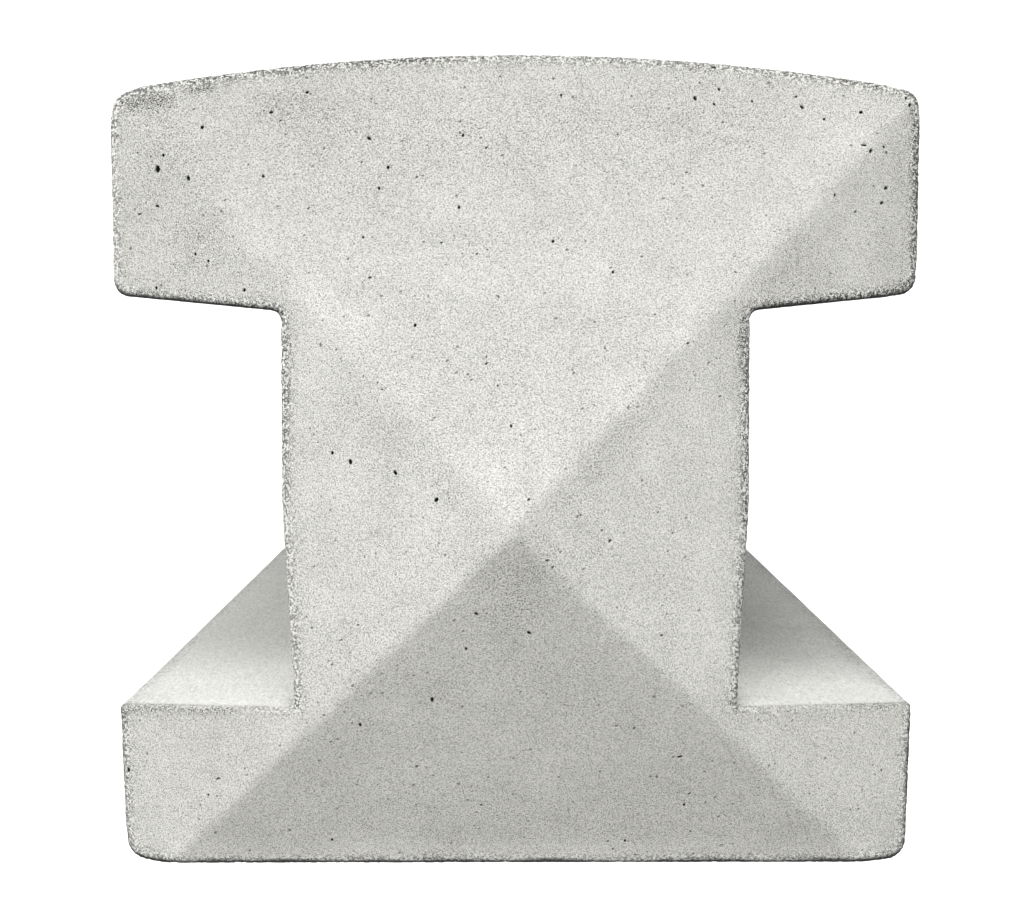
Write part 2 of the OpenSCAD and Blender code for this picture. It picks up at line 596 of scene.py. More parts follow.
class WeatheredTop:
    """The weathered faces of the post, which meet over soft hips."""

    FACES = 4
    # How soft each hip is: a height in millimetres for +X+Y, -X+Y, -X-Y and +X-Y, near
    # the tip and far from it
    HIP_SOFTNESS = [(0.1, 0.15), (0.14, 0.6), (0.16, 0.2), (0.15, 0.24)]
    FAR = 60 * MM
    # How sharply the softness turns from one hip to the next
    HIP_FOCUS = 8
    # The way that each face falls, and how many millimetres it lies below its plane
    SETTLED = [(1, 0, 0.1), (0, 1, -0.5), (-1, 0, 0.1), (0, -1, 0.22)]

    def __init__(self, node):
        planes = self.read(node)
        self.slopes = np.array([plane[0] for plane in planes])
        self.levels = np.array([plane[1] for plane in planes])
        for x, y, drop in self.SETTLED:
            self.levels[np.argmin(self.slopes @ (x, y))] -= drop * MM
        self.tip = self.find_tip()

    @classmethod
    def read(cls, node):
        """Slope and level of each weathered face: z is level + slope . (x, y)."""
        shell = welded(node)
        found = {}
        for face in shell.faces:
            normal = face.normal
            if 0.5 < normal.z < 0.99:
                slope = (-normal.x / normal.z, -normal.y / normal.z)
                centre = face.calc_center_median()
                level = centre.z - slope[0] * centre.x - slope[1] * centre.y
                key = (round(slope[0], 3), round(slope[1], 3))
                area, _, _ = found.get(key, (0.0, slope, level))
                found[key] = (area + face.calc_area(), slope, level)
        shell.free()
        largest = sorted(found.values(), reverse=True)[: cls.FACES]
        return [(slope, level) for _, slope, level in largest]

    def find_tip(self):
        """Where the planes meet, in the least squares sense."""
        rows = np.column_stack([-self.slopes, np.ones(len(self.slopes))])
        return np.linalg.lstsq(rows, self.levels, rcond=None)[0]

    def softness(self, points):
        """Softness of the nearest hip at each point, in metres."""
        away = points - self.tip[:2]
        turn = np.arctan2(away[:, 1], away[:, 0])
        far = np.clip(np.hypot(away[:, 0], away[:, 1]) / self.FAR, 0, 1)
        total = np.zeros(len(points))
        weights = np.zeros(len(points))
        for hip, (near_soft, far_soft) in enumerate(self.HIP_SOFTNESS):
            bearing = math.radians(45 + 90 * hip)
            weight = np.exp(self.HIP_FOCUS * (np.cos(turn - bearing) - 1))
            total += weight * (near_soft + (far_soft - near_soft) * far**2)
            weights += weight
        return MM * total / weights

    def height(self, points, unevenness=None):
        """Height of the top at each point, with the hips rounded."""
        heights = points @ self.slopes.T + self.levels
        if unevenness is not None:
            heights = heights + unevenness
        soft = self.softness(points)[:, None]
        lowest = heights.min(axis=1, keepdims=True)
        spread = np.exp(-(heights - lowest) / soft).sum(axis=1)
        return (lowest - soft * np.log(spread)[:, None])[:, 0]


def ripple(points, wavelength, seed):
    """Smooth noise from about -1 to 1 at each point, with this wavelength.

    Each corner of a grid of cubes has a random slope, and the cube's eight corners are
    blended at a point inside it.
    """
    rng = np.random.default_rng(seed)
    slopes = rng.normal(size=(SLOPE_COUNT, 3))
    slopes /= np.linalg.norm(slopes, axis=1, keepdims=True)
    order = rng.permutation(SLOPE_COUNT)
    scaled = points / wavelength
    cell = np.floor(scaled).astype(int)
    part = scaled - cell
    share = part * part * (3 - 2 * part)
    total = np.zeros(len(points))
    for corner in itertools.product((0, 1), repeat=3):
        spot = (cell + corner) % SLOPE_COUNT
        pick = order[spot[:, 0]]
        pick = order[(pick + spot[:, 1]) % SLOPE_COUNT]
        pick = order[(pick + spot[:, 2]) % SLOPE_COUNT]
        weight = np.prod(np.where(corner, share, 1 - share), axis=1)
        total += weight * ((part - corner) * slopes[pick]).sum(axis=1)
    return 1.6 * total


def ripples(points, waves, seed=0):
    """The sum of several waves of smooth noise, each with a seed of its own."""
    return sum(share * ripple(points, wavelength, seed + own) for wavelength, share, own in waves)


def with_column(points, value):
    """The points with one more column, which holds the same value for all."""
    return np.column_stack([points, np.full(len(points), value)])


class PhotoCamera:
    """The camera that took the photograph, over the tip of the post."""

    def __init__(self, studio):
        self.focal = studio.lens / SENSOR_WIDTH_MM * PHOTO_WIDTH
        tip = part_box(POST_NODE)[1].z
        self.place = Vector((studio.camera_side, studio.camera_forward, tip + studio.camera_rise))
        # Nearly straight down, with the picture's top towards the crown
        self.heading = Euler((studio.camera_lean, 0, studio.camera_turn))
        # Length that one pixel covers on the top of the post
        self.pixel = studio.camera_rise / self.focal

    def on_top(self, top, x, y, tries=8):
        """The point (x, y) of the weathered top that a pixel of the photograph shows."""
        across = (x - PHOTO_WIDTH / 2) / self.focal
        up = (PHOTO_HEIGHT / 2 - y) / self.focal
        ray = Vector((across, up, -1.0))
        ray.rotate(self.heading)
        level = top.tip[2]
        for _ in range(tries):
            seen = self.place + ray * ((level - self.place.z) / ray.z)
            level = top.height(np.array([seen[:2]]))[0]
        return np.array(seen[:2])


class Pore:
    """A hollow in a flat sheet of points: an oval with steep walls."""

    # Rings of vertices, each with its share of the pore's size and its vertex count
    RINGS = [(0.0, 1), (0.55, 6), (0.9, 9), (1.12, 10), (1.5, 9)]
    CLEARANCE = 1.75

    def __init__(self, centre, width, length, lean, depth):
        self.centre = np.asarray(centre, float)
        self.half = np.array([width, length]) / 2
        self.turn = np.array([[math.cos(lean), -math.sin(lean)], [math.sin(lean), math.cos(lean)]])
        self.depth = depth

    def reach(self):
        """How far from its centre the pore keeps other pores' vertices away."""
        return self.half.max() * self.CLEARANCE

    def shares(self, points):
        """How far out each point lies: 0 at the middle and 1 on the pore's edge."""
        local = ((points - self.centre) @ self.turn) / self.half
        return np.hypot(local[:, 0], local[:, 1])

    def vertices(self):
        """Vertices that give the pore its form."""
        found = []
        for ring, (share, count) in enumerate(self.RINGS):
            angles = (np.arange(count) + 0.5 * (ring % 2)) * math.tau / count
            circle = share * np.column_stack([np.cos(angles), np.sin(angles)])
            found.append((circle * self.half) @ self.turn.T + self.centre)
        return np.vstack(found)

    def sink(self, points):
        """Depth of the pore at each point."""
        share = np.clip(self.shares(points), 0, 1)
        return self.depth * np.sqrt(1 - share**2)


def spread_pores(pores, points):
    """The points with those near a pore replaced by the pore's own vertices."""
    keep = np.ones(len(points), bool)
    for pore in pores:
        near = np.abs(points - pore.centre).max(axis=1) < 2 * pore.reach()
        keep[near] &= pore.shares(points[near]) > pore.CLEARANCE
    return np.vstack([points[keep]] + [pore.vertices() for pore in pores])


def add_if_free(pores, pore):
    """Adds a pore unless it would meet one that is there."""
    for other in pores:
        if np.linalg.norm(pore.centre - other.centre) < pore.reach() + other.reach():
            return
    pores.append(pore)


def top_pores(shape, camera, outline, top, rng):
    """Pores of the weathered faces: those that the photograph shows, and pinholes."""
    pores = []
    for x, y, width, length, lean in TOP_PORES:
        size = PORE_OVERSIZE * np.array([width, length]) * camera.pixel
        place = camera.on_top(top, x, y)
        add_if_free(pores, Pore(place, *size, math.radians(lean), 1.1 * size[0]))
    low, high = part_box(POST_NODE)
    tried = 0
    wanted = len(pores) + shape.top_pinholes
    while len(pores) < wanted and tried < TRIES * wanted:
        tried += 1
        place = rng.uniform(low[:2], high[:2])[None, :]
        width = rng.uniform(*PINHOLE_WIDTHS) * MM
        length = width * rng.uniform(1.0, 2.2)
        lean = math.radians(rng.uniform(-80, -40))
        if len(outline.kept_inside(place, PINHOLE_MARGIN)):
            add_if_free(pores, Pore(place[0], width, length, lean, 0.4 * width))
    return pores


def side_pores(shape, outline, depth, rng):
    """Pores of the sides, as places along the outline and below the rim."""
    pores = []
    tried = 0
    least, most = SIDE_PORE_WIDTHS
    while len(pores) < shape.side_pores and tried < TRIES * shape.side_pores:
        tried += 1
        # The cube makes most of them small
        width = MM * (least + (most - least) * rng.random() ** 3)
        length = width * rng.uniform(1.0, 1.7)
        place = np.array([rng.uniform(0, outline.perimeter), rng.uniform(0, depth)])
        margin = 2 * length
        clear = margin < place[0] < outline.perimeter - margin
        clear = clear and SIDE_PORE_MARGIN < place[1] < depth - SIDE_PORE_MARGIN
        if clear and outline.cornered(place[:1])[0] == 0:
            lean = rng.uniform(-0.6, 0.6)
            add_if_free(pores, Pore(place, width, length, lean, 0.55 * width))
    return pores


def side_chips(shape, outline, depth, rng):
    """Chips of the arrises: round spots of the unrolled sides, in which a bite goes."""
    chips = []
    for _ in range(shape.side_chips):
        level = rng.uniform(CHIP_MARGIN, depth - CHIP_MARGIN)
        width = 2 * MM * rng.uniform(*CHIP_RADII)
        place = np.array([outline.corner_place(rng), level])
        add_if_free(chips, Pore(place, width, width, 0.0, 0.0))
    return chips


def delaunay(points, edges=()):
    """Triangles over flat points, out to their convex hull. The edges are kept."""
    made = delaunay_2d_cdt([Vector(p) for p in points], list(edges), [], 0, 1e-9, True)
    faces, sources = made[2], made[3]
    return [[sources[corner][0] for corner in face] for face in faces]


def triangulate(points, border):
    """Triangles over the points, inside the border that the first ones make."""
    walls = [(corner, (corner + 1) % border) for corner in range(border)]
    faces = delaunay(points, walls)
    beside = {}
    for number, face in enumerate(faces):
        for edge in zip(face, face[1:] + face[:1]):
            beside.setdefault(frozenset(edge), []).append(number)
    for wall in walls:
        beside.pop(frozenset(wall), None)
    outside = {pair[0] for pair in beside.values() if len(pair) == 1}
    to_visit = list(outside)
    while to_visit:
        face = faces[to_visit.pop()]
        for edge in zip(face, face[1:] + face[:1]):
            for number in beside.get(frozenset(edge), []):
                if number not in outside:
                    outside.add(number)
                    to_visit.append(number)
    return [face for number, face in enumerate(faces) if number not in outside]


class TopSheet:
    """The weathered top: flat points, the rim's first, with triangles between them."""

    def __init__(self, shape, outline, top, pores):
        self.along = outline.columns(shape.rim_step, RIM_CORNER_SHARE * shape.rim_step)
        self.rim = len(self.along)
        inner = self.inner_points(shape, outline, pores)
        self.flat = np.vstack([outline.at(self.along), inner])
        self.faces = triangulate(self.flat, self.rim)
        # How far each point lies from the outline, and the length along it there
        self.distance, self.nearby = outline.nearest(self.flat)
        self.distance[: self.rim] = 0.0
        self.nearby[: self.rim] = self.along
        heights = top.height(self.flat, top_unevenness(shape, top, self.flat))
        heights -= rim_drop(shape, self.distance)
        self.places = np.column_stack([self.flat, heights])
        self.hollow = sum(pore.sink(self.flat) for pore in pores)
        self.hollow *= np.clip(self.distance / shape.rim_radius, 0, 1)

    def inner_points(self, shape, outline, pores):
        """Points inside the rim: rings that follow it, and a grid within the rings."""
        rim = outline.at(self.along)
        normals = outline.outward(self.along)
        rings = []
        inset = 0.0
        step = 0.5 * shape.rim_step
        while step < shape.top_step:
            inset += step
            thin = max(1, round(0.8 * step / shape.rim_step))
            # Points that come too near the rim across a slot's corner are left out
            ring = (rim - normals * inset)[::thin]
            rings.append(outline.kept_inside(ring, 0.97 * inset))
            step *= 1.22
        low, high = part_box(POST_NODE)
        row_step = shape.top_step * math.sqrt(3) / 2
        grid = []
        for row, y in enumerate(np.arange(low.y, high.y, row_step)):
            xs = np.arange(low.x, high.x, shape.top_step) + (row % 2) * shape.top_step / 2
            grid.append(with_column(xs, y))
        grid = outline.kept_inside(np.vstack(grid), inset + 0.6 * shape.top_step)
        inner = spread_pores(pores, np.vstack(rings + [grid]))
        return inner[outline.distance(inner) > 0.3 * shape.rim_step]


def side_rows(shape, outline, depth):
    """Rows of points down the sides: each is a depth and the lengths along the outline."""
    # Depths down to which rows have these steps on the flats and on the rounded corners
    levels = [
        (1.6 * MM, shape.rim_step, RIM_CORNER_SHARE * shape.rim_step),
        (5 * MM, 0.9 * MM, 0.45 * MM),
        (FINE_DEPTH, 1.9 * MM, 0.6 * MM),
        (depth, shape.side_step, 0.75 * MM),
    ]
    rows = []
    step = 0.8 * shape.rim_step
    level = step
    while level < depth - 0.5 * shape.side_rise:
        _, flat_step, corner_step = next(row for row in levels if level <= row[0])
        rows.append((level, outline.columns(flat_step, corner_step)))
        limit = shape.side_rise if level > FINE_DEPTH else 2.2 * flat_step
        step = min(step * 1.25, max(limit, step))
        level += step
    foot = outline.columns(shape.side_step, FOOT_CORNER_STEP)
    rows = [row for row in rows if row[0] < depth - 3 * shape.foot_radius]
    for share in (1.0, 0.6, 0.3, 0.0):
        rows.append((depth - share * shape.foot_radius, foot))
    return rows


class SideSheet:
    """The sides, unrolled: points by length along the outline and depth below the rim."""

    def __init__(self, shape, outline, head, rng):
        self.outline = outline
        self.rim = with_column(head.along, 0.0)
        rim_heights = head.places[: head.rim, 2]
        self.depth = float(rim_heights.mean())
        self.rim_along = np.append(head.along, outline.perimeter)
        self.rim_heights = np.append(rim_heights, rim_heights[0])
        pores = side_pores(shape, outline, self.depth, rng)
        self.chips = side_chips(shape, outline, self.depth, rng)

        rows = side_rows(shape, outline, self.depth)
        body = [with_column(columns[1:], level) for level, columns in rows[:-1]]
        self.body = spread_pores(pores + self.chips, np.vstack(body))
        self.seam = np.array([(0.0, level) for level, _ in rows[:-1]])
        self.foot = with_column(rows[-1][1], self.depth)

        # Without the rim's points, which belong to the top
        rolled = np.vstack([self.body, self.seam, self.foot])
        self.along, self.below = rolled.T
        self.places = self.in_space(self.along, self.below)
        into_foot = np.clip(1 - (self.depth - self.below) / shape.foot_radius, 0, 1)
        tuck = shape.foot_radius * (1 - np.sqrt(1 - into_foot**2))
        self.places[:, :2] -= outline.outward(self.along) * tuck[:, None]
        self.hollow = sum(pore.sink(rolled) for pore in pores)

    def in_space(self, along, below):
        """Where points of the unrolled sides lie in space."""
        turned = np.mod(along, self.outline.perimeter)
        over = np.interp(turned, self.rim_along, self.rim_heights)
        return np.column_stack([self.outline.at(along), over * (1 - below / self.depth)])

    def triangles(self):
        """Triangles between the points, the rim's first, with the seam's sides joined."""
        rim, body, seam = len(self.rim), len(self.body), len(self.seam)
        points = np.vstack([self.rim, self.body, self.seam, self.foot])
        far = np.array([self.outline.perimeter, 0.0])
        copies = [0] + list(range(rim + body, rim + body + seam)) + [rim + body + seam]
        whole = np.vstack([points, points[copies] + far])
        owner = list(range(len(points))) + copies
        return [[owner[corner] for corner in face] for face in delaunay(whole)]


class FootSheet:
    """The flat foot: points inside its ring, and the triangles over both."""

    def __init__(self, shape, outline, ring):
        low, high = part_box(POST_NODE)
        step = 1.6 * shape.side_step
        xs, ys = np.meshgrid(np.arange(low.x, high.x, step), np.arange(low.y, high.y, step))
        grid = np.column_stack([xs.ravel(), ys.ravel()])
        grid = outline.kept_inside(grid, 0.5 * step)
        self.ring = len(ring)
        self.places = with_column(grid, 0.0)
        self.faces = triangulate(np.vstack([ring, grid]), len(ring))


def rim_drop(shape, distance):
    """How far the worn arris lies below the faces, by distance from the outline."""
    share = np.clip(1 - distance / shape.rim_radius, 0, 1)
    return shape.rim_radius * (1 - np.sqrt(1 - share**2))


def top_unevenness(shape, top, points):
    """Slow swell of each weathered face, which also makes the hips waver a little."""
    flat = with_column(points, 0.0)
    swells = [
        ripples(flat, TOP_WAVES, FACE_SEEDS * face) for face in range(1, len(top.levels) + 1)
    ]
    return shape.top_swell * (np.column_stack(swells) - 1) / 2


def side_swell(shape, outline, along, places):
    """Inward swell of the sides, with the float's strokes on the crown."""
    normals = outline.outward(along)
    slow = ripples(places, SIDE_WAVES)
    swell = shape.side_swell * (slow + 1) / 2 * (1 - 0.8 * outline.cornered(along))
    crown = np.clip((normals[:, 1] - 0.9) / 0.08, 0, 1)
    strokes = ripples(places * np.array([1.0, 1.0, STROKE_WIDTH_SHARE]), STROKE_WAVES)
    return swell + crown * shape.float_marks * (strokes + 1) / 2


def crumble(shape, places, closeness):
    """Loss of sand grains on an arris, from how close each place is to it."""
    lumps = np.abs(ripple(places, LUMP_SIZE, 21))
    grains = np.abs(ripple(places, GRAIN_SIZE, 22))
    sand = ripple(places, SAND_SIZE, 23)
    loss = 0.5 * lumps + 1.1 * grains + 0.6 * sand - 0.1
    return shape.rim_crumble * closeness * np.clip(loss, 0, None)


def bite(places, centre, radius, depth):
    """Depth of a chip at each place: full at its centre, nothing past its radius."""
    share = np.linalg.norm(places - centre, axis=1) / radius
    return depth * np.clip(1 - share**2, 0, 1)


def bell(distance, reach):
    """1 at no distance and about a third at the reach, along a bell curve."""
    return np.exp(-((distance / reach) ** 2))


def top_stains_and_painted_light(camera, top, points):
    """How much paler or darker each place of the top is, from its stains and its bands of painted
    light and shade.
    """
    stain_and_painted_light = np.zeros(len(points))
    for x0, y0, x1, y1, width, strength in TOP_STAINS_AND_PAINTED_LIGHT:
        start = camera.on_top(top, x0, y0)
        run = camera.on_top(top, x1, y1) - start
        share = np.clip(((points - start) @ run) / (run @ run), 0, 1)
        gap = np.linalg.norm(points - start - share[:, None] * run, axis=1)
        stain_and_painted_light += strength * bell(2 * gap, width * camera.pixel)
    return stain_and_painted_light


def shaded_rim(outline, along):
    """How much painted shade the rim has: most where it looks away from the crown and the lamps
    over it, and beside it.
    """
    places = outline.at(along)
    normals = outline.outward(along)
    faces_back = np.clip(-normals[:, 1], 0, 1)
    at_left, at_right = FACE_END_SHADE
    low = np.where(normals[:, 0] > 0, at_right, at_left) * np.abs(normals[:, 0])
    beside = np.where(places[:, 1] < 0, low, CROWN_END_SHADE * normals[:, 0])
    on_flange = np.abs(places[:, 0]) > FLANGE_ENDS
    beside = np.where(on_flange, np.clip(beside, 0, 1), 0.0)
    return np.clip(faces_back + beside, 0, 1)


def slot_lip(outline, along):
    """1 where the moulded flange looks into a slot, and 0 elsewhere."""
    towards_crown = np.clip(2 * outline.outward(along)[:, 1] - 1, 0, 1)
    return np.where(outline.at(along)[:, 1] < 0, towards_crown, 0.0)


class CastPost:
    """The whole surface: the top's, the sides' and the foot's sheets, and their wear."""

    # Distance from the rim over which its grains lie bare, and how much less they do
    # where the moulded flange looks into a slot
    BARED_REACH = 1.3 * MM
    LIP_SHELTER = 0.65
    # Depths below the rim at which the sides' swell and their moulded skin are full
    SWELL_DEPTH = 12 * MM
    SKIN_DEPTH = 2 * MM
    # Depth from which a pore is painted dark with shade, and the distances from the tip
    # between which the top gets duller
    DARK_DEPTH = 0.08 * MM
    DULLED = (20 * MM, 65 * MM)
    # How much the long arrises crumble and show bare grains, as shares of the rim's wear
    ARRIS_CRUMBLE_SHARE = 0.6
    ARRIS_BARED_SHARE = 0.5
    # Depth of a nick and of a chip, as shares of their radius
    NICK_SHARE = 0.7
    CHIP_SHARE = 0.3

    def __init__(self, shape, camera):
        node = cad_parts[POST_NODE]
        rng = np.random.default_rng(shape.seed)
        self.shape = shape
        self.camera = camera
        self.outline = Outline(node)
        self.top = WeatheredTop(node)
        pores = top_pores(shape, camera, self.outline, self.top, rng)
        self.head = TopSheet(shape, self.outline, self.top, pores)
        self.sides = SideSheet(shape, self.outline, self.head, rng)
        ring = self.sides.places[-len(self.sides.foot) :, :2]
        self.foot = FootSheet(shape, self.outline, ring)
        self.parts = (self.head.places, self.sides.places, self.foot.places)
        self.places = np.vstack(self.parts)
        self.to_rim = self.everywhere(self.head.distance, self.sides.below, self.sides.depth)
        self.cornered = self.everywhere(0, self.outline.cornered(self.sides.along))
        self.hollow = self.everywhere(self.head.hollow, self.sides.hollow)
        lips = self.everywhere(
            slot_lip(self.outline, self.head.nearby), slot_lip(self.outline, self.sides.along)
        )
        self.bared = bell(self.to_rim, self.BARED_REACH) * (1 - self.LIP_SHELTER * lips)

    def everywhere(self, on_top, on_sides, on_foot=0):
        """A value for each vertex, from the values, or the one value, of each sheet."""
        pairs = zip((on_top, on_sides, on_foot), self.parts)
        return np.concatenate([np.ones(len(places)) * values for values, places in pairs])

    def faces(self):
        """The triangles of all three sheets."""
        flat, whole = len(self.head.flat), len(self.places)
        foot = whole - len(self.foot.places)
        side_owner = [*range(self.head.rim), *range(flat, foot)]
        foot_owner = range(foot - self.foot.ring, whole)
        faces = [list(face) for face in self.head.faces]
        for owner, turned in (
            (side_owner, self.sides.triangles()),
            (foot_owner, self.foot.faces),
        ):
            faces += [[owner[corner] for corner in face[::-1]] for face in turned]
        if len(faces) > TRIANGLE_LIMIT:
            raise RuntimeError(f"the post has {len(faces)} triangles, over the limit")
        return faces

    def bites(self):
        """Depth of the nicks round the top and of the chips down the arrises."""
        rim = self.head.places[: self.head.rim]
        pixel = self.camera.pixel
        spots = []
        for x, y, radius in TOP_NICKS:
            away = rim[:, :2] - self.camera.on_top(self.top, x, y)
            nearest = rim[np.argmin(np.linalg.norm(away, axis=1))]
            spots.append((nearest, radius * pixel, self.NICK_SHARE))
        for chip in self.sides.chips:
            place = self.sides.in_space(chip.centre[:1], chip.centre[1:])[0]
            spots.append((place, chip.half[0], self.CHIP_SHARE))
        deepest = np.zeros(len(self.places))
        for place, radius, share in spots:
            deepest = np.maximum(deepest, bite(self.places, place, radius, share * radius))
        return deepest

    def sink(self):
        """How far each vertex lies below the unworn surface."""
        sides = self.sides
        swell = side_swell(self.shape, self.outline, sides.along, sides.places)
        swell *= np.clip(sides.below / self.SWELL_DEPTH, 0, 1)
        closeness = self.bared + self.ARRIS_CRUMBLE_SHARE * self.cornered
        crumbled = crumble(self.shape, self.places, closeness)
        return self.hollow + crumbled + self.everywhere(0, swell) + self.bites()

    def slot_painted_light(self):
        """Painted light on the slots below their lips, and painted shade deeper down in them."""
        sides = self.sides
        x, y, _ = sides.places.T
        lip_light = np.interp(x, (-LIP_PLACE, LIP_PLACE), LIP_PAINTED_LIGHT)
        lip_light = lip_light * np.exp(-sides.below / LIP_LIGHT_DEPTH)
        stain_and_painted_light = LIP_BAND_HIGHLIGHT * bell(sides.below, LIP_BAND) + lip_light
        stain_and_painted_light = stain_and_painted_light * slot_lip(self.outline, sides.along)
        # Painted shade deeper down in the slots
        in_slot = (y > SLOT_SIDES[0]) & (y < SLOT_SIDES[1])
        shade_start, shade_end = SHADE_DEPTHS
        slot_shade = np.clip((sides.below - shade_start) / (shade_end - shade_start), 0, 1)
        return stain_and_painted_light - SLOT_PAINTED_SHADE * in_slot * slot_shade

    def painted_shade(self):
        """Painted shade along the rim, on the top and just below it on the sides."""
        head, outline = self.head, self.outline
        uneven = 1 + RIM_SHADE_WAVE_SHARE * ripple(head.places, RIM_SHADE_WAVE, 31)
        on_rim = shaded_rim(outline, head.nearby) * bell(head.distance, RIM_SHADE_WIDTH * uneven)
        on_rim = np.clip(RIM_SHADE_STRENGTH * on_rim, 0, 1)
        # The moulded face's rim has a band of its own, with a firmer edge
        on_face = outline.outward(head.nearby)[:, 1] < -0.8
        on_face &= outline.at(head.nearby)[:, 1] < MOULDED_FACE_Y
        band = np.clip((FACE_SHADE_BAND * uneven - head.distance) / FACE_SHADE_BAND_EDGE, 0, 1)
        on_rim = np.where(on_face, band, on_rim)
        below = bell(self.sides.below - RIM_SHADE_DEPTH, 2 * RIM_SHADE_DEPTH)
        return self.everywhere(on_rim, shaded_rim(outline, self.sides.along) * below)

    def marks(self):
        """What the material reads at each vertex."""
        from_tip = np.linalg.norm(self.places[:, :2] - self.top.tip[:2], axis=1)
        near, far = self.DULLED
        stain_and_painted_light = top_stains_and_painted_light(self.camera, self.top, self.head.flat)
        return {
            "worn": np.clip(self.bared + self.ARRIS_BARED_SHARE * self.cornered, 0, 1),
            # Painted shade along the rim
            "rim_shade": self.painted_shade(),
            # Stains, painted light and painted shade, on the top and in the slots
            "stain_and_painted_light": self.everywhere(stain_and_painted_light, self.slot_painted_light()),
            # Painted shade in the pores
            "hollow": np.clip(self.hollow / self.DARK_DEPTH, 0, 1),
            "dulled": np.clip((from_tip - near) / (far - near), 0, 1) * self.everywhere(1, 0),
            "moulded": np.clip(self.to_rim / self.SKIN_DEPTH, 0, 1) * self.everywhere(0, 1, 1),
        }


def build_post(shape, camera):
    """The mesh of the whole post, with the marks that its material reads."""
    post = CastPost(shape, camera)
    mesh = bpy.data.meshes.new("cast_post")
    mesh.from_pydata(post.places.tolist(), [], post.faces())
    mesh.validate()
    mesh.polygons.foreach_set("use_smooth", [True] * len(mesh.polygons))
    mesh.update()

    normals = np.zeros(post.places.size)
    mesh.vertex_normals.foreach_get("vector", normals)
    moved = post.places - normals.reshape(-1, 3) * post.sink()[:, None]
    # Nothing reaches below the ground that the foot stands on
    moved[:, 2] = np.clip(moved[:, 2], 0.0, None)
    mesh.vertices.foreach_set("co", moved.ravel())
    mesh.update()

    for name, values in post.marks().items():
        layer = mesh.attributes.new(name, "FLOAT", "POINT")
        layer.data.foreach_set("value", values.astype(np.float32))
    return mesh


class NodeBoard:
    """Adds nodes to a node tree and links them, one call for each node."""

    def __init__(self, tree):
        self.tree = tree
        self.tree.nodes.clear()

    def add(self, kind, inputs=None, **settings):
        node = self.tree.nodes.new(kind)
        for name, value in settings.items():
            setattr(node, name, value)
        for name, value in (inputs or {}).items():
            if isinstance(value, bpy.types.NodeSocket):
                self.tree.links.new(value, node.inputs[name])
            else:
                node.inputs[name].default_value = value
        return node

    def math(self, operation, first, second, clamp=False):
        node = self.add(
            "ShaderNodeMath", {0: first, 1: second}, operation=operation, use_clamp=clamp
        )
        return node.outputs[0]

    def plus(self, *values):
        """The sum of the values."""
        return functools.reduce(functools.partial(self.math, "ADD"), values)

    def times(self, *values):
        """The product of the values."""
        return functools.reduce(functools.partial(self.math, "MULTIPLY"), values)

    def blend(self, share, first, second):
        """Colour between two colours. The sockets of a colour mix are 0, 6, 7 and 2."""
        node = self.add("ShaderNodeMix", {0: share, 6: first, 7: second}, data_type="RGBA")
        return node.outputs[2]

    def scaled(self, colour, factor):
        """A colour made lighter or darker by a factor."""
        node = self.add("ShaderNodeVectorMath", {0: colour, "Scale": factor}, operation="SCALE")
        return node.outputs[0]

    def remap(self, value, low, high, to_low=0.0, to_high=1.0):
        """The value, moved from one range to another and held inside it."""
        node = self.add(
            "ShaderNodeMapRange",
            {
                "Value": value,
                "From Min": low,
                "From Max": high,
                "To Min": to_low,
                "To Max": to_high,
            },
        )
        return node.outputs["Result"]

    def swing(self, noise, reach):
        """Noise turned into a change of up to this much, to both sides of 0."""
        return self.remap(noise, 0.3, 0.7, -reach, reach)

    def noise(self, place, size, detail, roughness=0.5):
        """Smooth noise whose features have this size in metres."""
        node = self.add(
            "ShaderNodeTexNoise",
            {
                "Vector": place,
                "Scale": 1.0 / size,
                "Detail": detail,
                "Roughness": roughness,
            },
        )
        return node.outputs["Fac"]

    def specks(self, place, spacing, radius, share):
        """Round specks: how deep a place lies in one, in this share of the cells."""
        cells = self.add("ShaderNodeTexVoronoi", {"Vector": place, "Scale": 1.0 / spacing})
        parts = self.add("ShaderNodeSeparateColor", {0: cells.outputs["Color"]})
        chosen = self.math("LESS_THAN", parts.outputs[0], share)
        size = self.remap(parts.outputs[1], 0, 1, 0.5, 1.0)
        edge = self.times(size, radius / spacing)
        depth = self.math("SUBTRACT", edge, cells.outputs["Distance"])
        return self.times(self.remap(depth, 0.0, 0.3 * radius / spacing), chosen)

    def mark(self, name):
        """A mark that the mesh carries."""
        node = self.add("ShaderNodeAttribute", attribute_name=name)
        return node.outputs["Fac"]


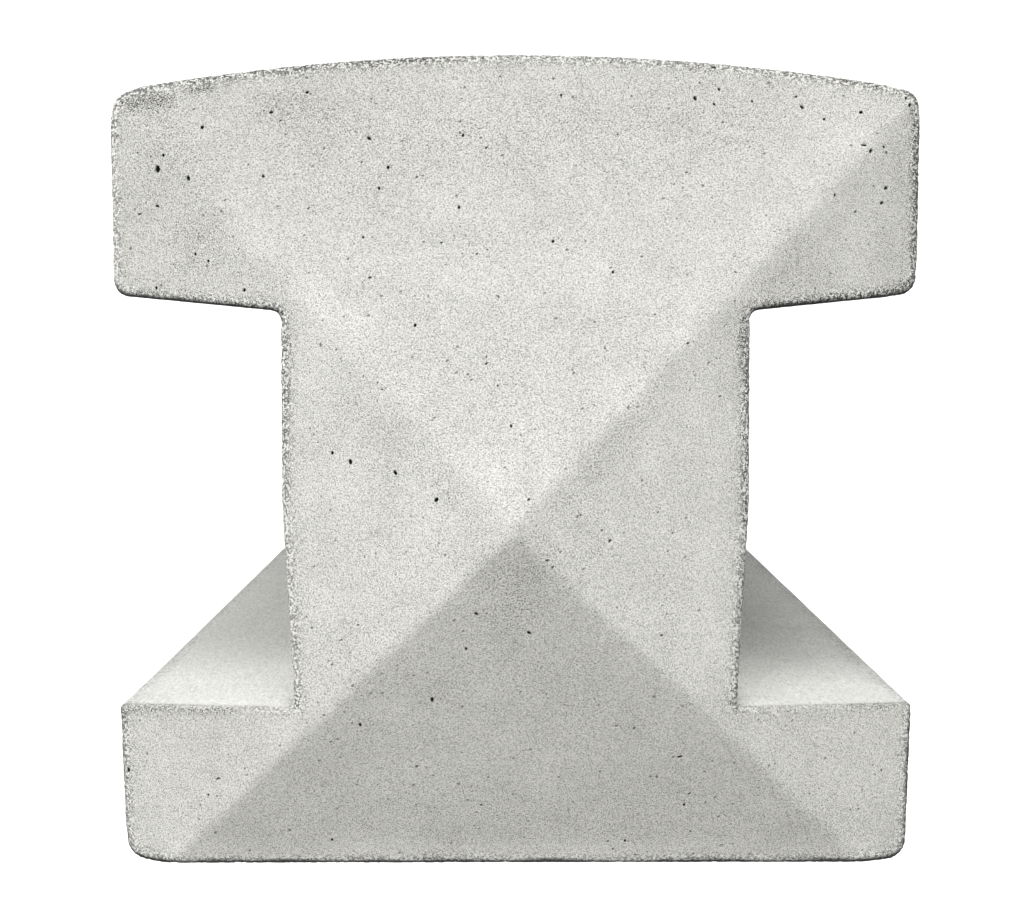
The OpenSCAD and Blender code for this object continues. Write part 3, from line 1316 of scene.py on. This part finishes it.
class ConcreteBoard(NodeBoard):
    """Dry cast concrete: a cement skin with sand, bared arrises, and painted shade in its pores and
    along its rim.
    """

    # Sizes of the soft clouds and the patches of the skin
    CLOUD = 34 * MM
    PATCH = 7 * MM
    # Widths of the stains and the streaks of the faces that met the mould, and those
    # widths as a share of their length up the post
    STAIN = 55 * MM
    STREAK = 0.4 * MM
    DRAWN = 0.2
    # Length of the runs of the rim that have lost more or less of their skin
    RIM_RUN = 12 * MM
    # Sizes of the sand and the gravel, as shares of the finest grain's
    SAND_SHARE = 2.8
    GRAVEL_SHARE = 3.4
    # Turn of the finest grain as seen from above, and its length as a share of its width
    GRAIN_LEAN = math.radians(28)
    GRAIN_LENGTH_SHARE = 1.5
    # The dark grit and the pits: the spacing of the cells, the largest radius of a speck
    # and the share of the cells that hold one
    GRIT = (0.9 * MM, 0.19 * MM, 0.3)
    PITS = (2.6 * MM, 0.25 * MM, 0.3)

    def __init__(self, tree, finish):
        super().__init__(tree)
        self.finish = finish
        place = self.add("ShaderNodeTexCoord").outputs["Object"]
        leaning = self.add(
            "ShaderNodeMapping",
            {
                "Vector": place,
                "Rotation": (0, 0, self.GRAIN_LEAN),
                "Scale": (self.GRAIN_LENGTH_SHARE, 1, 1),
            },
            vector_type="TEXTURE",
        ).outputs[0]
        drawn = self.add(
            "ShaderNodeMapping", {"Vector": place, "Scale": (1, 1, self.DRAWN)}
        ).outputs[0]

        self.worn = self.mark("worn")
        self.hollow = self.mark("hollow")
        self.moulded = self.mark("moulded")
        self.dulled = self.mark("dulled")
        # Stains of the top, with painted light and painted shade on the top and in the slots
        self.stain_and_painted_light = self.mark("stain_and_painted_light")
        # Painted shade along the rim
        self.rim_shade = self.mark("rim_shade")

        self.cloud = self.noise(place, self.CLOUD, 3.0)
        self.patch = self.noise(place, self.PATCH, 3.0, 0.6)
        grain = self.noise(leaning, finish.grain, 0.0)
        sand = self.noise(place, self.SAND_SHARE * finish.grain, 1.0)
        self.gravel = self.noise(place, self.GRAVEL_SHARE * finish.grain, 1.0, 0.7)
        self.along_rim = self.noise(place, self.RIM_RUN, 2.0)
        self.stain = self.noise(drawn, self.STAIN, 3.0, 0.6)
        self.streak = self.noise(drawn, self.STREAK, 3.0, 0.8)
        self.grit = self.specks(leaning, *self.GRIT)
        self.pits = self.specks(place, *self.PITS)
        self.mixed = self.plus(grain, self.times(sand, 0.1))
        # The grain is full on the floated top, strongest on its worn rim and where its stains
        # and its painted shade darken it, and fainter on the faces that met the mould
        coarse = self.plus(self.worn, self.remap(self.stain_and_painted_light, 0.0, -0.3, 0.0, 1.5))
        self.contrast = self.plus(coarse, self.off_mould(1.0, 0.9))

    def off_mould(self, on_top, on_sides):
        """One value on the floated top, and another on the faces that met the mould."""
        return self.remap(self.moulded, 0, 1, on_top, on_sides)

    def tone(self):
        """How light the cement skin is, around 1."""
        finish = self.finish
        relief = self.remap(self.mixed, 0.25, 0.65, -0.3, 0.1)
        grained = self.times(relief, self.contrast, finish.grain_contrast)
        patches = self.times(self.swing(self.patch, 0.06), self.off_mould(1.0, 0.5))
        patina = self.plus(self.swing(self.streak, 0.25), self.swing(self.stain, 0.06))
        tone = self.plus(
            grained,
            self.swing(self.cloud, 0.05),
            patches,
            self.times(self.moulded, patina),
            self.plus(self.times(self.moulded, finish.mould_paleness), 1.0),
            # Stains, painted light and painted shade
            self.stain_and_painted_light,
        )
        return self.times(tone, self.remap(self.dulled, 0, 1, 1.0, 1.0 - finish.dulling))

    def skin(self):
        """Colour of the cement skin, the bare grains, and the painted shade along the rim and in
        the pores.
        """
        finish = self.finish
        cement = self.blend(self.moulded, (*finish.cement, 1), (*finish.moulded_cement, 1))
        skin = self.scaled(cement, self.tone())
        # Where the arris has lost its skin, dark and pale grains lie bare side by side
        dark_grains = self.remap(self.gravel, 0.47, 0.56)
        pale_grains = self.remap(self.gravel, 0.48, 0.4)
        runs = self.remap(self.along_rim, 0.35, 0.65, 0.5, 1.0)
        for cover, colour in (
            (self.times(self.grit, self.off_mould(0.75, 0.3)), finish.dark),
            (self.times(self.pits, 0.8), finish.dark),
            (self.times(self.worn, dark_grains, runs), finish.dark),
            (self.times(self.worn, pale_grains), finish.pale),
            # Painted shade: near black along the rim's shaded arris and in the pores
            (self.times(self.rim_shade, 0.97), finish.shade),
            (self.hollow, finish.shade),
        ):
            skin = self.blend(cover, skin, (*colour, 1))
        return skin

    def relief(self):
        """Normal of the surface, with its grains, patches, grit and pits."""
        height = self.plus(
            self.times(self.mixed, self.contrast),
            self.times(self.patch, 0.8),
            self.times(self.gravel, self.worn),
        )
        height = self.math("SUBTRACT", height, self.times(self.pits, 0.8))
        height = self.math("SUBTRACT", height, self.times(self.grit, 0.4))
        bump = self.add("ShaderNodeBump", {"Height": height, "Distance": self.finish.grain_relief})
        return bump.outputs["Normal"]


def concrete_material(finish):
    """The concrete of the whole post."""
    material = bpy.data.materials.new("cast_concrete")
    material.use_nodes = True
    board = ConcreteBoard(material.node_tree, finish)
    shader = board.add(
        "ShaderNodeBsdfPrincipled",
        {
            "Base Color": board.skin(),
            "Roughness": finish.roughness,
            "Specular IOR Level": 0.25,
            "Normal": board.relief(),
        },
    )
    board.add("ShaderNodeOutputMaterial", {"Surface": shader.outputs["BSDF"]})
    return material


def seen_directly(board):
    """1 where the camera, a reflection or a clear pane sees the surface, and 0 in light."""
    path = board.add("ShaderNodeLightPath").outputs
    seen = board.math("ADD", path["Is Camera Ray"], path["Is Glossy Ray"])
    return board.math("ADD", seen, path["Is Transmission Ray"], clamp=True)


def floor_material(studio):
    """A pale floor that looks white to the camera and still takes the post's shadow."""
    material = bpy.data.materials.new("studio_floor")
    material.use_nodes = True
    board = NodeBoard(material.node_tree)
    plain = board.add("ShaderNodeBsdfDiffuse", {"Color": (*studio.floor_colour, 1.0)})
    lift = board.add("ShaderNodeEmission", {"Strength": seen_directly(board)})
    lifted = board.add("ShaderNodeAddShader", {0: plain.outputs[0], 1: lift.outputs[0]})
    board.add("ShaderNodeOutputMaterial", {"Surface": lifted.outputs[0]})
    return material


def light_world(studio):
    """Soft light from above, and white where the camera sees past the floor."""
    world = bpy.data.worlds.new("studio_world")
    world.use_nodes = True
    board = NodeBoard(world.node_tree)
    heading = board.add("ShaderNodeTexCoord").outputs["Generated"]
    upward = board.add("ShaderNodeSeparateXYZ", {0: heading}).outputs["Z"]
    light = board.remap(upward, -0.1, 0.6, 0.4 * studio.sky, studio.sky)
    strength = board.remap(seen_directly(board), 0, 1, light, 1.0)
    backdrop = board.add("ShaderNodeBackground", {"Strength": strength})
    backdrop.inputs["Color"].default_value = (1, 1, 1, 1)
    board.add("ShaderNodeOutputWorld", {"Surface": backdrop.outputs[0]})
    return world


def add_lamp(name, place, target, size, power):
    """A large soft lamp that faces its target."""
    lamp = bpy.data.lights.new(name, "AREA")
    lamp.shape = "RECTANGLE"
    lamp.size, lamp.size_y = size
    lamp.energy = power
    holder = bpy.data.objects.new(name, lamp)
    bpy.context.scene.collection.objects.link(holder)
    holder.location = place
    holder.rotation_euler = (target - place).to_track_quat("-Z", "Y").to_euler()
    return holder


def add_camera(studio):
    """The camera over the top of the post, as in the photograph."""
    camera = bpy.data.cameras.new("photo_camera")
    camera.lens = studio.lens
    camera.sensor_width = SENSOR_WIDTH_MM
    camera.clip_start = 0.01
    holder = bpy.data.objects.new("photo_camera", camera)
    bpy.context.scene.collection.objects.link(holder)
    photo_camera = PhotoCamera(studio)
    holder.location = photo_camera.place
    holder.rotation_euler = photo_camera.heading
    bpy.context.scene.camera = holder
    return holder


def add_floor(studio):
    """A plain square floor under the post."""
    half = studio.floor_width / 2
    corners = [(-half, -half, 0), (half, -half, 0), (half, half, 0), (-half, half, 0)]
    mesh = bpy.data.meshes.new("floor")
    mesh.from_pydata(corners, [], [(0, 1, 2, 3)])
    mesh.materials.append(floor_material(studio))
    floor = bpy.data.objects.new("floor", mesh)
    bpy.context.scene.collection.objects.link(floor)
    return floor


class CONCRETE_POST_OT_cast(bpy.types.Operator):
    """Make the cast surface of the post in the place of its plain solid"""

    bl_idname = "concrete_post.cast"
    bl_label = "Cast the Post"

    def execute(self, context):
        scene = context.scene
        mesh = build_post(scene.post_shape, PhotoCamera(scene.post_studio))
        mesh.materials.append(concrete_material(scene.post_concrete))
        piece = bpy.data.objects.new("cast_post", mesh)
        scene.collection.objects.link(piece)
        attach(piece, POST_BODY)
        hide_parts(POST_NODE)
        return {"FINISHED"}


class CONCRETE_POST_OT_studio(bpy.types.Operator):
    """Set up the floor, the lamps, the even light and the camera"""

    bl_idname = "concrete_post.studio"
    bl_label = "Set Up the Studio"

    def execute(self, context):
        studio = context.scene.post_studio
        tip = Vector((0, 0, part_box(POST_NODE)[1].z))
        add_floor(studio)
        for name, place, size, power in (
            ("key_lamp", (0, 1.8, 2.2), (1.8, 1.4), studio.key_power),
            ("front_lamp", (0, 2.3, 1.5), (1.8, 1.2), studio.front_power),
            ("left_lamp", (-2.6, 0, -0.3), (1.2, 2.4), studio.left_power),
            ("right_lamp", (2.5, 0.4, 0.7), (1.2, 2.0), studio.right_power),
            ("back_lamp", (0, -2.0, 1.6), (1.4, 1.4), studio.back_power),
            ("low_lamp", (0.3, -2.7, -1.5), (1.6, 1.4), studio.low_power),
        ):
            add_lamp(name, tip + Vector(place), tip, size, power)
        context.scene.world = light_world(studio)
        add_camera(studio)
        context.scene.view_settings.view_transform = "Standard"
        return {"FINISHED"}


class CONCRETE_POST_PT_sidebar(bpy.types.Panel):
    """Settings and steps of the fence post"""

    bl_idname = "CONCRETE_POST_PT_sidebar"
    bl_label = "Concrete Fence Post"
    bl_space_type = "VIEW_3D"
    bl_region_type = "UI"
    bl_category = "Fence Post"

    def draw(self, context):
        layout = self.layout
        scene = context.scene
        for title, settings, step in (
            ("Shape", scene.post_shape, CONCRETE_POST_OT_cast.bl_idname),
            ("Concrete", scene.post_concrete, None),
            ("Studio", scene.post_studio, CONCRETE_POST_OT_studio.bl_idname),
        ):
            box = layout.box()
            box.label(text=title)
            for name in settings.__annotations__:
                box.prop(settings, name)
            if step:
                box.operator(step)


CLASSES = (
    PostShape,
    PostConcrete,
    PostStudio,
    CONCRETE_POST_OT_cast,
    CONCRETE_POST_OT_studio,
    CONCRETE_POST_PT_sidebar,
)


def register():
    for cls in CLASSES:
        bpy.utils.register_class(cls)
    bpy.types.Scene.post_shape = PointerProperty(type=PostShape)
    bpy.types.Scene.post_concrete = PointerProperty(type=PostConcrete)
    bpy.types.Scene.post_studio = PointerProperty(type=PostStudio)


def unregister():
    del bpy.types.Scene.post_studio
    del bpy.types.Scene.post_concrete
    del bpy.types.Scene.post_shape
    for cls in reversed(CLASSES):
        bpy.utils.unregister_class(cls)


def main():
    register()
    bpy.ops.concrete_post.cast()
    bpy.ops.concrete_post.studio()


if __name__ == "__main__":
    main()
